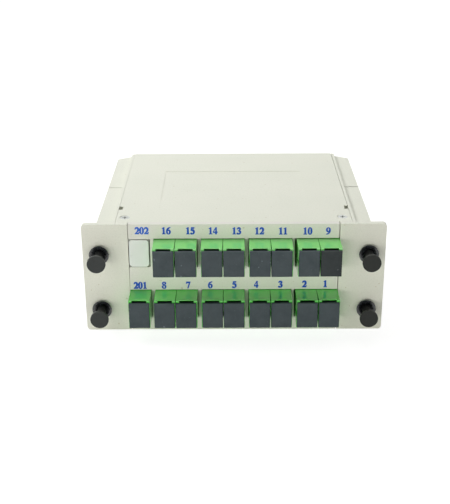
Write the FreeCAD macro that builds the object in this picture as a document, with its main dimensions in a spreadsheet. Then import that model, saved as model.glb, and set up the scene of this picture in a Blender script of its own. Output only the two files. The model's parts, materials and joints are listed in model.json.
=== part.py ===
import FreeCAD, Part
import os
import Sketcher

# Plug-in cassette for a 1 x 16 optical splitter. Millimetres; X to the right, Y into the depth, Z up.
# Each piece is drawn with y = 0 on the front face of the panel and is then placed, so that the
# origin of the whole lies at the middle of its underside.

SIZES = (
    # the box
    ("overall_width", 130.0),
    ("overall_height", 50.0),
    ("body_depth", 100.0),
    ("face_thickness", 2.5),
    ("face_corner", 1.6),
    ("box_width", 104.0),
    ("floor_thickness", 2.0),
    ("side_wall", 2.0),
    ("rear_wall", 2.0),
    ("wall_lip", 1.3),
    ("rear_corner", 2.0),
    # guide wings on both sides
    ("wing_width", 7.0),
    ("wing_thickness", 1.6),
    ("wing_inset", 1.4),
    ("wing_slope", 4.4),
    ("wing_corner", 1.2),
    ("wing_groove_y", 51.0),
    ("wing_groove_width", 0.6),
    ("wing_groove_depth", 0.7),
    # top cover
    ("cover_thickness", 2.0),
    ("cover_gap", 0.15),
    ("notch_y", 18.0),
    ("notch_length", 4.0),
    ("notch_width", 1.8),
    ("field_y", 28.5),
    ("field_length", 42.4),
    ("field_width", 65.6),
    ("field_depth", 0.3),
    # cover screws
    ("screw_spacing", 94.0),
    ("screw_y", 8.6),
    ("screw_head", 4.2),
    ("screw_shank", 2.2),
    ("screw_length", 8.0),
    ("screw_cone", 1.2),
    ("screw_sink", 0.15),
    ("screw_gap", 0.1),
    ("cross_length", 2.4),
    ("cross_width", 0.55),
    ("cross_depth", 0.9),
    ("boss_length", 6.6),
    ("boss_wall", 0.5),
    # adapter panel
    ("panel_gap", 0.15),
    ("panel_flange", 1.8),
    ("panel_overlap", 3.9),
    ("port_web", 1.6),
    ("row_low", 12.25),  # the lower row below mid-height
    ("row_pitch", 23.95),
    # adapters
    ("adapter_width", 9.3),
    ("adapter_height", 12.9),
    ("adapter_gap", 0.05),
    ("adapter_reach", 10.8),
    ("adapter_length", 27.4),
    ("adapter_web", 1.6),
    ("socket_width", 7.45),
    ("socket_height", 9.05),
    ("collar_height", 1.0),
    ("collar_length", 1.6),
    ("collar_gap", 0.05),
    ("stop_rib", 1.2),
    ("mouth_notch_width", 6.2),
    ("mouth_notch_depth", 0.7),
    ("key_width", 2.4),
    ("key_length", 6.5),
    ("barrel_width", 4.2),
    ("barrel_length", 6.5),
    ("ferrule_bore", 2.5),
    ("arm_width", 2.6),
    ("arm_thickness", 0.8),
    ("arm_inner", 2.5),
    ("arm_length", 6.8),
    ("hook_length", 0.9),
    ("hook_height", 0.5),
    # dust caps
    ("cap_plate", 1.1),
    ("cap_width", 8.8),
    ("cap_above", 5.6),  # the plate above and below the middle of its plug
    ("cap_below", 6.1),
    ("cap_edge", 0.25),
    ("cap_fit", 0.1),
    ("cap_plug", 7.2),
    ("cap_wall", 0.8),
    # blank plug
    ("blank_width", 8.8),
    ("blank_height", 12.6),
    ("blank_corner", 0.8),
    ("blank_proud", 0.3),
    ("blank_wall", 1.2),
    # latches
    ("latch_spacing", 115.6),
    ("latch_low", 14.5),  # the lower latches below mid-height
    ("latch_pitch", 25.9),
    ("flange_diameter", 8.6),
    ("flange_height", 1.6),
    ("flange_root", 7.0),
    ("flange_rim", 0.6),
    ("dish_depth", 1.1),
    ("barb_diameter", 6.7),
    ("latch_barrel", 6.0),
    ("latch_barrel_gap", 0.05),
    ("latch_reach", 9.0),
    ("leg_root", 4.3),
    ("leg_slot", 1.0),
    ("barb_length", 2.4),
    ("neck_diameter", 3.8),
    ("neck_gap", 0.08),
    ("knob_diameter", 7.86),
    ("knob_reach", 11.5),
    ("knob_rim", 1.3),
    ("knob_cone", 1.4),
    ("neck_end", 1.9),
    ("tip_length", 1.0),
    ("tip_diameter", 2.4),
    # fibre spool and splitter module
    ("spool_y", 58.0),
    ("spool_radius", 30.0),
    ("spool_wall", 1.6),
    ("spool_height", 18.0),
    ("spool_lip", 2.0),
    ("spool_opening", 21.0),
    ("module_length", 60.0),
    ("module_width", 7.0),
    ("module_height", 4.0),
    ("module_edge", 0.8),
    ("module_recess", 1.5),
    ("module_rim", 0.7),
    ("module_gap", 0.1),
    ("cradle_spacing", 36.0),
    ("cradle_length", 6.0),
    ("cradle_wall", 1.4),
    ("cradle_rise", 4.6),
)

PAIRS = 4
ROWS = (0, 1)
PAST = 1  # how far a cut runs on past the face that it opens

# Sizes that follow from the driving ones, as expressions.
FACE_Y = "(-(Sizes.body_depth - Sizes.adapter_reach - Sizes.cap_plate) / 2)"
SINGLE = "(Sizes.adapter_width + 2 * Sizes.adapter_gap)"
PAIR = "(2 * Sizes.adapter_width + 2 * Sizes.adapter_gap)"
PORT_HEIGHT = "(Sizes.adapter_height + 2 * Sizes.adapter_gap)"
PORTS_HALF = f"(({SINGLE} + {PAIRS} * ({PAIR} + Sizes.port_web)) / 2)"
BOX_HALF = "(Sizes.box_width / 2)"
INNER_HALF = "(Sizes.box_width / 2 - Sizes.side_wall)"
LIP_HALF = "(Sizes.box_width / 2 - Sizes.wall_lip)"
COVER_SEAT = "(Sizes.overall_height - Sizes.cover_thickness)"
SCREW_HOLE = "(Sizes.screw_shank / 2 + Sizes.screw_gap)"
ABOVE = f"(Sizes.overall_height + {PAST})"
PANEL_BACK = "(Sizes.face_thickness + Sizes.panel_flange)"
COLLAR_Y = f"({PANEL_BACK} + Sizes.collar_gap)"
STOP_Y = f"({COLLAR_Y} + Sizes.collar_length + Sizes.collar_gap)"
WEB_Y = "(Sizes.adapter_length / 2 - Sizes.adapter_reach)"
WING_HALF = "(Sizes.box_width / 2 + Sizes.wing_width)"
WING_TOP = "(Sizes.overall_height - Sizes.wing_inset)"
CRADLE_HALF = "(Sizes.module_width / 2 + Sizes.module_gap + Sizes.cradle_wall)"
SEAT_HALF = "(Sizes.module_width / 2 + Sizes.module_gap)"
BEFORE_MOUTH = f"(-Sizes.adapter_reach - {PAST})"

doc = FreeCAD.newDocument("SplitterCassette")
sheet = doc.addObject("Spreadsheet::Sheet", "Sizes")
for row, (alias, size) in enumerate(SIZES, start=1):
    sheet.set(f"A{row}", alias)
    sheet.set(f"B{row}", str(size))
    sheet.setAlias(f"B{row}", alias)
doc.recompute()

subparts = []


def value(expression):
    """The number that an expression over the sheet stands for."""
    return float(sheet.evalExpression(expression))


def bind(thing, **expressions):
    for path, expression in expressions.items():
        thing.setExpression(path.replace("__", "."), expression)


def place(thing, x="0", y="0", z="0"):
    bind(thing, Placement__Base__x=x, Placement__Base__y=f"{FACE_Y} + {y}", Placement__Base__z=z)


def new_body(name):
    body = doc.addObject("PartDesign::Body", name)
    body.Label = name
    subparts.append(body)
    return body


def new_sketch(body, name, plane, offset="0"):
    sketch = body.newObject("Sketcher::SketchObject", name)
    for feature in body.Origin.OriginFeatures:
        if feature.Role == plane + "_Plane":
            sketch.AttachmentSupport = [(feature, "")]
    sketch.MapMode = "FlatFace"
    bind(sketch, AttachmentOffset__Base__z=offset)
    return sketch


def polygon(sketch, corners):
    """A closed outline whose corners are pairs of expressions in the sketch's own axes."""
    first = sketch.GeometryCount
    spots = [FreeCAD.Vector(value(a), value(b), 0) for a, b in corners]
    count = len(spots)
    for i, spot in enumerate(spots):
        sketch.addGeometry(Part.LineSegment(spot, spots[(i + 1) % count]))
    for i in range(count):
        sketch.addConstraint(Sketcher.Constraint("Coincident", first + i, 2, first + (i + 1) % count, 1))
    for i, corner in enumerate(corners):
        for kind, axis, expression in zip(("DistanceX", "DistanceY"), (-2, -1), corner):
            if expression == "0":
                sketch.addConstraint(Sketcher.Constraint("PointOnObject", first + i, 1, axis))
                continue
            size = Sketcher.Constraint(kind, -1, 1, first + i, 1, value(expression))
            sketch.setExpression(f"Constraints[{sketch.addConstraint(size)}]", expression)


def rectangle(sketch, left, right, bottom, top):
    polygon(sketch, ((left, bottom), (right, bottom), (right, top), (left, top)))


def octagon(sketch, width):
    flat, corner = f"{width} / 2", f"{width} / 2 * tan(22.5)"
    polygon(sketch, ((corner, flat), (flat, corner), (flat, f"-{corner}"), (corner, f"-{flat}"),
                     (f"-{corner}", f"-{flat}"), (f"-{flat}", f"-{corner}"), (f"-{flat}", corner),
                     (f"-{corner}", flat)))


def circle(sketch, radius, x="0", y="0"):
    centre = FreeCAD.Vector(value(x), value(y), 0)
    ring = sketch.addGeometry(Part.Circle(centre, FreeCAD.Vector(0, 0, 1), value(radius)))
    limits = [(Sketcher.Constraint("Radius", ring, value(radius)), radius)]
    for kind, axis, expression in zip(("DistanceX", "DistanceY"), (-2, -1), (x, y)):
        if expression == "0":
            sketch.addConstraint(Sketcher.Constraint("PointOnObject", ring, 3, axis))
        else:
            limits.append((Sketcher.Constraint(kind, -1, 1, ring, 3, value(expression)), expression))
    for limit, expression in limits:
        sketch.setExpression(f"Constraints[{sketch.addConstraint(limit)}]", expression)


def extrude(body, name, sketch, length, cut=False, away=False):
    """A pad or pocket. On the XZ plane a pad goes back along +Y unless it is turned away."""
    feature = body.newObject("PartDesign::Pocket" if cut else "PartDesign::Pad", name)
    feature.Profile = sketch
    bind(feature, Length=length)
    feature.Reversed = away
    return feature


def block(body, name, low, high, cut=False):
    """A box between two corners, each three expressions, added to the body or cut from it."""
    feature = body.newObject("PartDesign::SubtractiveBox" if cut else "PartDesign::AdditiveBox", name)
    for axis, side, start, end in zip("xyz", ("Length", "Width", "Height"), low, high):
        feature.setExpression("Placement.Base." + axis, start)
        feature.setExpression(side, f"({end}) - ({start})")
    return feature


def both_sides(body, name, low, high, cut=False):
    """The same block at the right (+X) and, mirrored, at the left."""
    block(body, name + "Right", low, high, cut)
    block(body, name + "Left", (f"-({high[0]})", low[1], low[2]), (f"-({low[0]})", high[1], high[2]), cut)


def picked_edges(body, wanted):
    """The body's last feature with the names of the edges that the test picks."""
    doc.recompute()
    last = body.Tip
    return last, [f"Edge{i}" for i, edge in enumerate(last.Shape.Edges, start=1) if wanted(edge)]


def round_edges(body, name, radius, wanted):
    edges = picked_edges(body, wanted)
    fillet = body.newObject("PartDesign::Fillet", name)
    fillet.Base = edges
    bind(fillet, Radius=radius)


def bevel_edges(body, name, size, wanted):
    edges = picked_edges(body, wanted)
    chamfer = body.newObject("PartDesign::Chamfer", name)
    chamfer.Base = edges
    bind(chamfer, Size=size)


def runs_along(edge, axis):
    direction = edge.tangentAt(edge.FirstParameter)
    return abs(abs(getattr(direction, axis)) - 1) < 1e-6 and isinstance(edge.Curve, Part.Line)


def near(a, b):
    return abs(a - b) < 1e-4


def spin(body, name, sketch, cut=False):
    """Turns a half section about the sketch's upright axis."""
    feature = body.newObject("PartDesign::Groove" if cut else "PartDesign::Revolution", name)
    feature.Profile = sketch
    feature.ReferenceAxis = (sketch, ["V_Axis"])
    feature.Angle = 360
    return feature


def clone(master, name, x, z):
    """A copy that follows its master, at its own place on the panel."""
    body = doc.addObject("PartDesign::Body", name)
    base = doc.addObject("PartDesign::FeatureBase", name + "Base")
    base.BaseFeature = master
    body.Group = [base]
    body.Tip = base
    body.Label = name
    place(body, x, "0", z)
    return body


def port_x(column):
    """Centre of a port from the panel's middle: column 0 is the single port, 1 to 8 the pairs."""
    if column == 0:
        return f"{SINGLE} / 2 - {PORTS_HALF}"
    pair, side = divmod(column - 1, 2)
    start = f"{SINGLE} - {PORTS_HALF} + {pair} * ({PAIR} + Sizes.port_web) + Sizes.port_web"
    return f"{start} + Sizes.adapter_gap + {side + 0.5} * Sizes.adapter_width"


def row_z(row):
    return f"(Sizes.overall_height / 2 - Sizes.row_low + {row} * Sizes.row_pitch)"


def latch_places():
    low = "Sizes.overall_height / 2 - Sizes.latch_low"
    for level, z in (("lower", low), ("upper", f"{low} + Sizes.latch_pitch")):
        for side, sign in (("left", "-"), ("right", "")):
            yield f"{level}_{side}", f"{sign}Sizes.latch_spacing / 2", z


def port_names():
    """Name, column and row of every adapter: 201 and 8 to 1 below, 16 to 9 above."""
    yield "201", 0, 0
    for column in range(1, 2 * PAIRS + 1):
        yield f"{2 * PAIRS + 1 - column:02d}", column, 0
        yield f"{4 * PAIRS + 1 - column:02d}", column, 1


def base_housing():
    """Floor, walls, ears and wings in one moulding, open at the front and at the top."""
    body = new_body("base_housing")
    face = new_sketch(body, "EarOutline", "XZ")
    rectangle(face, "-Sizes.overall_width / 2", "Sizes.overall_width / 2", "0", "Sizes.overall_height")
    extrude(body, "Ears", face, "Sizes.face_thickness", away=True)
    edge_x = value("Sizes.overall_width / 2")
    round_edges(body, "EarCorners", "Sizes.face_corner",
                lambda edge: runs_along(edge, "y") and near(abs(edge.CenterOfMass.x), edge_x))
    tray = new_sketch(body, "TrayOutline", "XY")
    rectangle(tray, f"-{BOX_HALF}", BOX_HALF, "Sizes.face_thickness", "Sizes.body_depth")
    extrude(body, "Tray", tray, "Sizes.overall_height")
    depth = value("Sizes.body_depth")
    round_edges(body, "RearCorners", "Sizes.rear_corner",
                lambda edge: runs_along(edge, "z") and near(edge.CenterOfMass.y, depth))
    wing_end = "Sizes.body_depth - Sizes.wing_slope"
    for name, bottom in (("UpperWing", f"{WING_TOP} - Sizes.wing_thickness"),
                         ("LowerWing", "Sizes.wing_inset")):
        wings = new_sketch(body, name + "Outline", "XY", bottom)
        polygon(wings, ((f"-{WING_HALF}", "Sizes.face_thickness"), (WING_HALF, "Sizes.face_thickness"),
                        (WING_HALF, wing_end), (BOX_HALF, "Sizes.body_depth"),
                        (f"-{BOX_HALF}", "Sizes.body_depth"), (f"-{WING_HALF}", wing_end)))
        extrude(body, name + "s", wings, "Sizes.wing_thickness")
    outer = value(WING_HALF)
    round_edges(body, "WingCorners", "Sizes.wing_corner",
                lambda edge: runs_along(edge, "z") and near(abs(edge.CenterOfMass.x), outer)
                and edge.CenterOfMass.y > depth / 2)
    both_sides(body, "WingGroove",
               (BOX_HALF, "Sizes.wing_groove_y", f"{WING_TOP} - Sizes.wing_groove_depth"),
               (f"{WING_HALF} + {PAST}", "Sizes.wing_groove_y + Sizes.wing_groove_width", ABOVE), cut=True)
    block(body, "PanelOpening",
          (f"-{PORTS_HALF}", f"-{PAST}", f"-{PAST}"),
          (PORTS_HALF, "Sizes.face_thickness", ABOVE), cut=True)
    block(body, "Cavity",
          (f"-{INNER_HALF}", "Sizes.face_thickness", "Sizes.floor_thickness"),
          (INNER_HALF, "Sizes.body_depth - Sizes.rear_wall", ABOVE), cut=True)
    block(body, "CoverRabbet",
          (f"-{LIP_HALF}", "Sizes.face_thickness", COVER_SEAT),
          (LIP_HALF, f"Sizes.body_depth + {PAST}", ABOVE), cut=True)
    both_sides(body, "ScrewBoss",
               ("Sizes.screw_spacing / 2 - Sizes.screw_shank / 2 - Sizes.boss_wall", COLLAR_Y,
                "Sizes.floor_thickness"),
               (INNER_HALF, f"{COLLAR_Y} + Sizes.boss_length", COVER_SEAT))
    holes = new_sketch(body, "PilotHoles", "XY", COVER_SEAT)
    for sign in ("", "-"):
        circle(holes, SCREW_HOLE, f"{sign}Sizes.screw_spacing / 2", "Sizes.screw_y")
    extrude(body, "PilotBores", holes, "Sizes.screw_length", cut=True)
    block(body, "LowerStopRib",
          (f"-{PORTS_HALF}", STOP_Y, "Sizes.floor_thickness / 2"),
          (PORTS_HALF, f"{STOP_Y} + Sizes.stop_rib", f"{row_z(0)} - {PORT_HEIGHT} / 2"))
    latches = new_sketch(body, "LatchHoleOutlines", "XZ")
    for name, x, z in latch_places():
        circle(latches, "Sizes.latch_barrel / 2 + Sizes.latch_barrel_gap", x, z)
    extrude(body, "LatchHoles", latches, "Sizes.face_thickness", cut=True)
    spool(body)
    both_sides(body, "Cradle",
               ("(Sizes.cradle_spacing - Sizes.cradle_length) / 2", f"Sizes.spool_y - {CRADLE_HALF}",
                "Sizes.floor_thickness / 2"),
               ("(Sizes.cradle_spacing + Sizes.cradle_length) / 2", f"Sizes.spool_y + {CRADLE_HALF}",
                "Sizes.floor_thickness + Sizes.cradle_rise"))
    block(body, "ModuleSeat",
          ("-Sizes.cradle_spacing", f"Sizes.spool_y - {SEAT_HALF}", "Sizes.floor_thickness"),
          ("Sizes.cradle_spacing", f"Sizes.spool_y + {SEAT_HALF}", "Sizes.overall_height / 2"), cut=True)
    place(body)


def spool(body):
    """Four curved posts with a lip, round which the fibres are laid."""
    section = new_sketch(body, "SpoolSection", "XZ", "-Sizes.spool_y")
    inner = "Sizes.spool_radius - Sizes.spool_wall"
    top = "Sizes.floor_thickness + Sizes.spool_height"
    polygon(section, ((inner, "Sizes.floor_thickness / 2"),
                      ("Sizes.spool_radius", "Sizes.floor_thickness / 2"),
                      ("Sizes.spool_radius", f"{top} - Sizes.spool_wall"),
                      ("Sizes.spool_radius + Sizes.spool_lip", f"{top} - Sizes.spool_wall"),
                      ("Sizes.spool_radius + Sizes.spool_lip", top), (inner, top)))
    spin(body, "SpoolRing", section)
    reach = "(Sizes.spool_radius + 2 * Sizes.spool_lip)"
    gap = "(Sizes.spool_opening / 2)"
    for name, across, along in (("SpoolGapsAcross", reach, gap), ("SpoolGapsAlong", gap, reach)):
        block(body, name,
              (f"-{across}", f"Sizes.spool_y - {along}", "Sizes.floor_thickness"),
              (across, f"Sizes.spool_y + {along}", f"{top} + {PAST}"), cut=True)


def top_cover():
    body = new_body("top_cover")
    edge = f"({LIP_HALF} - Sizes.cover_gap)"
    front = "Sizes.face_thickness + Sizes.cover_gap"
    plate = new_sketch(body, "PlateOutline", "XY", COVER_SEAT)
    rectangle(plate, f"-{edge}", edge, front, "Sizes.body_depth")
    extrude(body, "Plate", plate, "Sizes.cover_thickness")
    depth = value("Sizes.body_depth")
    round_edges(body, "PlateCorners", "Sizes.rear_corner - Sizes.wall_lip",
                lambda edge: runs_along(edge, "z") and near(edge.CenterOfMass.y, depth))
    block(body, "Field",
          ("-Sizes.field_width / 2", "Sizes.field_y", "Sizes.overall_height - Sizes.field_depth"),
          ("Sizes.field_width / 2", "Sizes.field_y + Sizes.field_length", ABOVE), cut=True)
    both_sides(body, "EdgeNotch",
               (f"{LIP_HALF} - Sizes.notch_width", "Sizes.notch_y", f"{COVER_SEAT} - {PAST}"),
               (BOX_HALF, "Sizes.notch_y + Sizes.notch_length", ABOVE), cut=True)
    block(body, "UpperStopRib",
          (f"-{PORTS_HALF}", STOP_Y, f"{row_z(1)} + {PORT_HEIGHT} / 2"),
          (PORTS_HALF, f"{STOP_Y} + Sizes.stop_rib", f"{COVER_SEAT} + Sizes.cover_thickness / 2"))
    for side, sign in (("Right", ""), ("Left", "-")):
        x = f"{sign}Sizes.screw_spacing / 2"
        hole = body.newObject("PartDesign::SubtractiveCylinder", f"ScrewHole{side}")
        bind(hole, Radius=SCREW_HOLE, Height=f"Sizes.cover_thickness + 2 * {PAST}",
             Placement__Base__x=x, Placement__Base__y="Sizes.screw_y",
             Placement__Base__z=f"{COVER_SEAT} - {PAST}")
        cone = body.newObject("PartDesign::SubtractiveCone", f"Countersink{side}")
        flare = "(Sizes.screw_head - Sizes.screw_shank) / 2 / Sizes.screw_cone"
        bind(cone, Radius1=SCREW_HOLE,
             Radius2=f"Sizes.screw_head / 2 + Sizes.screw_gap + Sizes.screw_sink * {flare}",
             Height="Sizes.screw_cone + Sizes.screw_sink",
             Placement__Base__x=x, Placement__Base__y="Sizes.screw_y",
             Placement__Base__z="Sizes.overall_height - Sizes.screw_sink - Sizes.screw_cone")
    place(body)


def cover_screws():
    """Two countersunk screws with crossed slots, kept as one group."""
    screws = []
    for side, sign in (("Right", ""), ("Left", "-")):
        screw = doc.addObject("PartDesign::Body", f"Screw{side}")
        section = new_sketch(screw, f"ScrewSection{side}", "XZ")
        shank, head = "Sizes.screw_shank / 2", "Sizes.screw_head / 2"
        end = "-Sizes.screw_length + Sizes.cover_thickness"
        polygon(section, (("0", "0"), ("0", end), (shank, end), (shank, "-Sizes.screw_cone"), (head, "0")))
        spin(screw, f"ScrewTurned{side}", section)
        for slot, across, along in (("A", "Sizes.cross_length", "Sizes.cross_width"),
                                    ("B", "Sizes.cross_width", "Sizes.cross_length")):
            block(screw, f"ScrewSlot{slot}{side}",
                  (f"-{across} / 2", f"-{along} / 2", "-Sizes.cross_depth"),
                  (f"{across} / 2", f"{along} / 2", f"{PAST}"), cut=True)
        bind(screw, Placement__Base__x=f"{sign}Sizes.screw_spacing / 2", Placement__Base__y="Sizes.screw_y",
             Placement__Base__z="Sizes.overall_height - Sizes.screw_sink")
        screws.append(screw)
    group(screws, "cover_screws")


def group(pieces, name):
    """Like pieces that share one node."""
    compound = doc.addObject("Part::Compound", name)
    compound.Links = pieces
    compound.Label = name
    subparts.append(compound)
    place(compound)


def adapter_panel():
    """Stepped plate: its face lies between the ears and its flange behind them."""
    body = new_body("adapter_panel")
    face_half = f"({PORTS_HALF} - Sizes.panel_gap)"
    flange_half = f"({PORTS_HALF} + Sizes.panel_overlap)"
    face = new_sketch(body, "FaceOutline", "XZ")
    rectangle(face, f"-{face_half}", face_half, "0", "Sizes.overall_height")
    extrude(body, "Face", face, "Sizes.face_thickness", away=True)
    flange = new_sketch(body, "FlangeOutline", "XZ", "-Sizes.face_thickness")
    rectangle(flange, f"-{flange_half}", flange_half,
              "Sizes.floor_thickness + Sizes.panel_gap", f"{COVER_SEAT} - Sizes.panel_gap")
    extrude(body, "Flange", flange, "Sizes.panel_flange", away=True)
    ports = new_sketch(body, "PortOutlines", "XZ")
    for row in ROWS:
        bottom = f"{row_z(row)} - {PORT_HEIGHT} / 2"
        top = f"{row_z(row)} + {PORT_HEIGHT} / 2"
        rectangle(ports, f"-{PORTS_HALF}", f"{SINGLE} - {PORTS_HALF}", bottom, top)
        for pair in range(PAIRS):
            start = f"({SINGLE} - {PORTS_HALF} + {pair} * ({PAIR} + Sizes.port_web) + Sizes.port_web)"
            rectangle(ports, start, f"{start} + {PAIR}", bottom, top)
    extrude(body, "Ports", ports, f"{PANEL_BACK} + {PAST}", cut=True)
    place(body)


def blank_plug():
    """Hollow plug that closes a port; it seats behind the panel as an adapter does."""
    body = new_body("blank_plug")
    half_width, half_height = "Sizes.blank_width / 2", "Sizes.blank_height / 2"
    face = new_sketch(body, "PlugOutline", "XZ", "Sizes.blank_proud")
    rectangle(face, f"-{half_width}", half_width, f"-{half_height}", half_height)
    extrude(body, "Plug", face, f"Sizes.blank_proud + {COLLAR_Y} + Sizes.collar_length", away=True)
    round_edges(body, "PlugCorners", "Sizes.blank_corner", lambda edge: runs_along(edge, "y"))
    collar_half = "(Sizes.adapter_height / 2 + Sizes.collar_height)"
    block(body, "PlugCollar",
          (f"-{half_width}", COLLAR_Y, f"-{collar_half}"),
          (half_width, f"{COLLAR_Y} + Sizes.collar_length", collar_half))
    block(body, "PlugHollow",
          (f"-{half_width} + Sizes.blank_wall", "Sizes.blank_wall", f"-{half_height} + Sizes.blank_wall"),
          (f"{half_width} - Sizes.blank_wall", f"{STOP_Y} + {PAST}",
           f"{half_height} - Sizes.blank_wall"), cut=True)
    place(body, port_x(0), "0", row_z(1))


def adapter(name):
    """SC adapter: two sockets back to back, a barrel with the ferrule sleeve, and two latch arms."""
    body = new_body("adapter_" + name)
    half_width, half_height = "Sizes.adapter_width / 2", "Sizes.adapter_height / 2"
    back = "(Sizes.adapter_length - Sizes.adapter_reach)"
    outline = new_sketch(body, "AdapterOutline", "XZ", "Sizes.adapter_reach")
    rectangle(outline, f"-{half_width}", half_width, f"-{half_height}", half_height)
    extrude(body, "AdapterBlock", outline, "Sizes.adapter_length", away=True)
    collar_half = f"({half_height} + Sizes.collar_height)"
    block(body, "Collar",
          (f"-{half_width}", COLLAR_Y, f"-{collar_half}"),
          (half_width, f"{COLLAR_Y} + Sizes.collar_length", collar_half))
    for socket, start, end in (("FrontSocket", BEFORE_MOUTH, f"{WEB_Y} - Sizes.adapter_web / 2"),
                               ("RearSocket", f"{WEB_Y} + Sizes.adapter_web / 2", f"{back} + {PAST}")):
        block(body, socket,
              ("-Sizes.socket_width / 2", start, "-Sizes.socket_height / 2"),
              ("Sizes.socket_width / 2", end, "Sizes.socket_height / 2"), cut=True)
    barrel = new_sketch(body, "BarrelOutline", "XZ", f"Sizes.barrel_length - {WEB_Y}")
    octagon(barrel, "Sizes.barrel_width")
    extrude(body, "Barrel", barrel, "Sizes.barrel_length", away=True)
    bore = new_sketch(body, "FerruleBoreOutline", "XZ", f"Sizes.barrel_length - {WEB_Y}")
    octagon(bore, "Sizes.ferrule_bore")
    extrude(body, "FerruleBore", bore, "Sizes.barrel_length + Sizes.adapter_web", cut=True)
    tip = f"({WEB_Y} - Sizes.adapter_web / 2 - Sizes.arm_length)"
    for level, sign in (("Upper", 1), ("Lower", -1)):
        faces = [f"{sign} * Sizes.arm_inner", f"{sign} * (Sizes.arm_inner + Sizes.arm_thickness)"]
        hook = [f"{sign} * (Sizes.arm_inner - Sizes.hook_height)", faces[1]]
        if sign < 0:
            faces.reverse()
            hook.reverse()
        block(body, level + "Arm",
              ("-Sizes.arm_width / 2", tip, faces[0]), ("Sizes.arm_width / 2", WEB_Y, faces[1]))
        block(body, level + "Hook",
              ("-Sizes.arm_width / 2", tip, hook[0]),
              ("Sizes.arm_width / 2", f"{tip} + Sizes.hook_length", hook[1]))
    block(body, "MouthNotches",
          ("-Sizes.mouth_notch_width / 2", BEFORE_MOUTH, "-Sizes.adapter_height"),
          ("Sizes.mouth_notch_width / 2", "-Sizes.adapter_reach + Sizes.mouth_notch_depth",
           "Sizes.adapter_height"), cut=True)
    block(body, "KeySlot",
          ("-Sizes.adapter_width", BEFORE_MOUTH, "-Sizes.key_width / 2"),
          ("-Sizes.socket_width / 2", "-Sizes.adapter_reach + Sizes.key_length",
           "Sizes.key_width / 2"), cut=True)
    return body


def dust_cap(name):
    """Flat plate with a hollow plug that fits the socket round the barrel and the arms."""
    body = new_body("dust_cap_" + name)
    plate = new_sketch(body, "CapOutline", "XZ", "Sizes.adapter_reach + Sizes.cap_plate")
    rectangle(plate, "-Sizes.cap_width / 2", "Sizes.cap_width / 2",
              "-Sizes.cap_below", "Sizes.cap_above")
    extrude(body, "CapPlate", plate, "Sizes.cap_plate", away=True)
    front = value("-Sizes.adapter_reach - Sizes.cap_plate")
    bevel_edges(body, "CapEdges", "Sizes.cap_edge", lambda edge: near(edge.CenterOfMass.y, front))
    half_width = "(Sizes.socket_width / 2 - Sizes.cap_fit)"
    half_height = "(Sizes.socket_height / 2 - Sizes.cap_fit)"
    end = "(-Sizes.adapter_reach + Sizes.cap_plug)"
    block(body, "CapPlug",
          (f"-{half_width}", "-Sizes.adapter_reach - Sizes.cap_plate / 2", f"-{half_height}"),
          (half_width, end, half_height))
    block(body, "CapHollow",
          (f"-{half_width} + Sizes.cap_wall", "-Sizes.adapter_reach", f"-{half_height} + Sizes.cap_wall"),
          (f"{half_width} - Sizes.cap_wall", f"{end} + {PAST}",
           f"{half_height} - Sizes.cap_wall"), cut=True)
    return body


def ports():
    """The adapters with their caps: the first port is drawn and the others follow it."""
    masters = {}
    for name, column, row in port_names():
        x, z = port_x(column), row_z(row)
        for kind, make in (("adapter_", adapter), ("dust_cap_", dust_cap)):
            if kind not in masters:
                masters[kind] = make(name)
                place(masters[kind], x, "0", z)
                doc.recompute()
            else:
                subparts.append(clone(masters[kind], kind + name, x, z))


def latch_grommet(name):
    """Split barrel with a dished flange; its barbed legs spread behind the chassis."""
    body = new_body("latch_grommet_" + name)
    section = new_sketch(body, "GrommetSection", "XY")
    flange, barrel = "Sizes.flange_diameter / 2", "Sizes.latch_barrel / 2"
    barb = "Sizes.barb_diameter / 2"
    bore = "(Sizes.neck_diameter / 2 + Sizes.neck_gap)"
    front = "-Sizes.flange_height"
    polygon(section, ((bore, f"{front} + Sizes.dish_depth"), (f"{flange} - Sizes.flange_rim", front),
                      (flange, front), ("Sizes.flange_root / 2", "0"), (barrel, "0"),
                      (barrel, "Sizes.latch_reach - Sizes.barb_length"), (barb, "Sizes.latch_reach"),
                      (bore, "Sizes.latch_reach")))
    spin(body, "GrommetTurned", section)
    for slot, across, along in (("LegSlotUpright", "Sizes.leg_slot", "Sizes.flange_diameter"),
                                ("LegSlotLevel", "Sizes.flange_diameter", "Sizes.leg_slot")):
        block(body, slot,
              (f"-{across} / 2", "Sizes.leg_root", f"-{along} / 2"),
              (f"{across} / 2", f"Sizes.latch_reach + {PAST}", f"{along} / 2"), cut=True)
    return body


def latch_plunger(name):
    """Knob and neck, drawn out of the grommet; pushed in, the neck spreads the legs."""
    body = new_body("latch_plunger_" + name)
    section = new_sketch(body, "PlungerSection", "XY")
    knob, neck = "Sizes.knob_diameter / 2", "Sizes.neck_diameter / 2"
    front = "-Sizes.knob_reach"
    polygon(section, (("0", front), (knob, front), (knob, f"{front} + Sizes.knob_rim"),
                      (neck, f"{front} + Sizes.knob_rim + Sizes.knob_cone"), (neck, "Sizes.neck_end"),
                      ("Sizes.tip_diameter / 2", "Sizes.neck_end + Sizes.tip_length"),
                      ("0", "Sizes.neck_end + Sizes.tip_length")))
    spin(body, "PlungerTurned", section)
    return body


def latches():
    masters = {}
    for name, x, z in latch_places():
        for kind, make in (("latch_grommet_", latch_grommet), ("latch_plunger_", latch_plunger)):
            if kind not in masters:
                masters[kind] = make(name)
                place(masters[kind], x, "0", z)
                doc.recompute()
            else:
                subparts.append(clone(masters[kind], kind + name, x, z))


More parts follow.
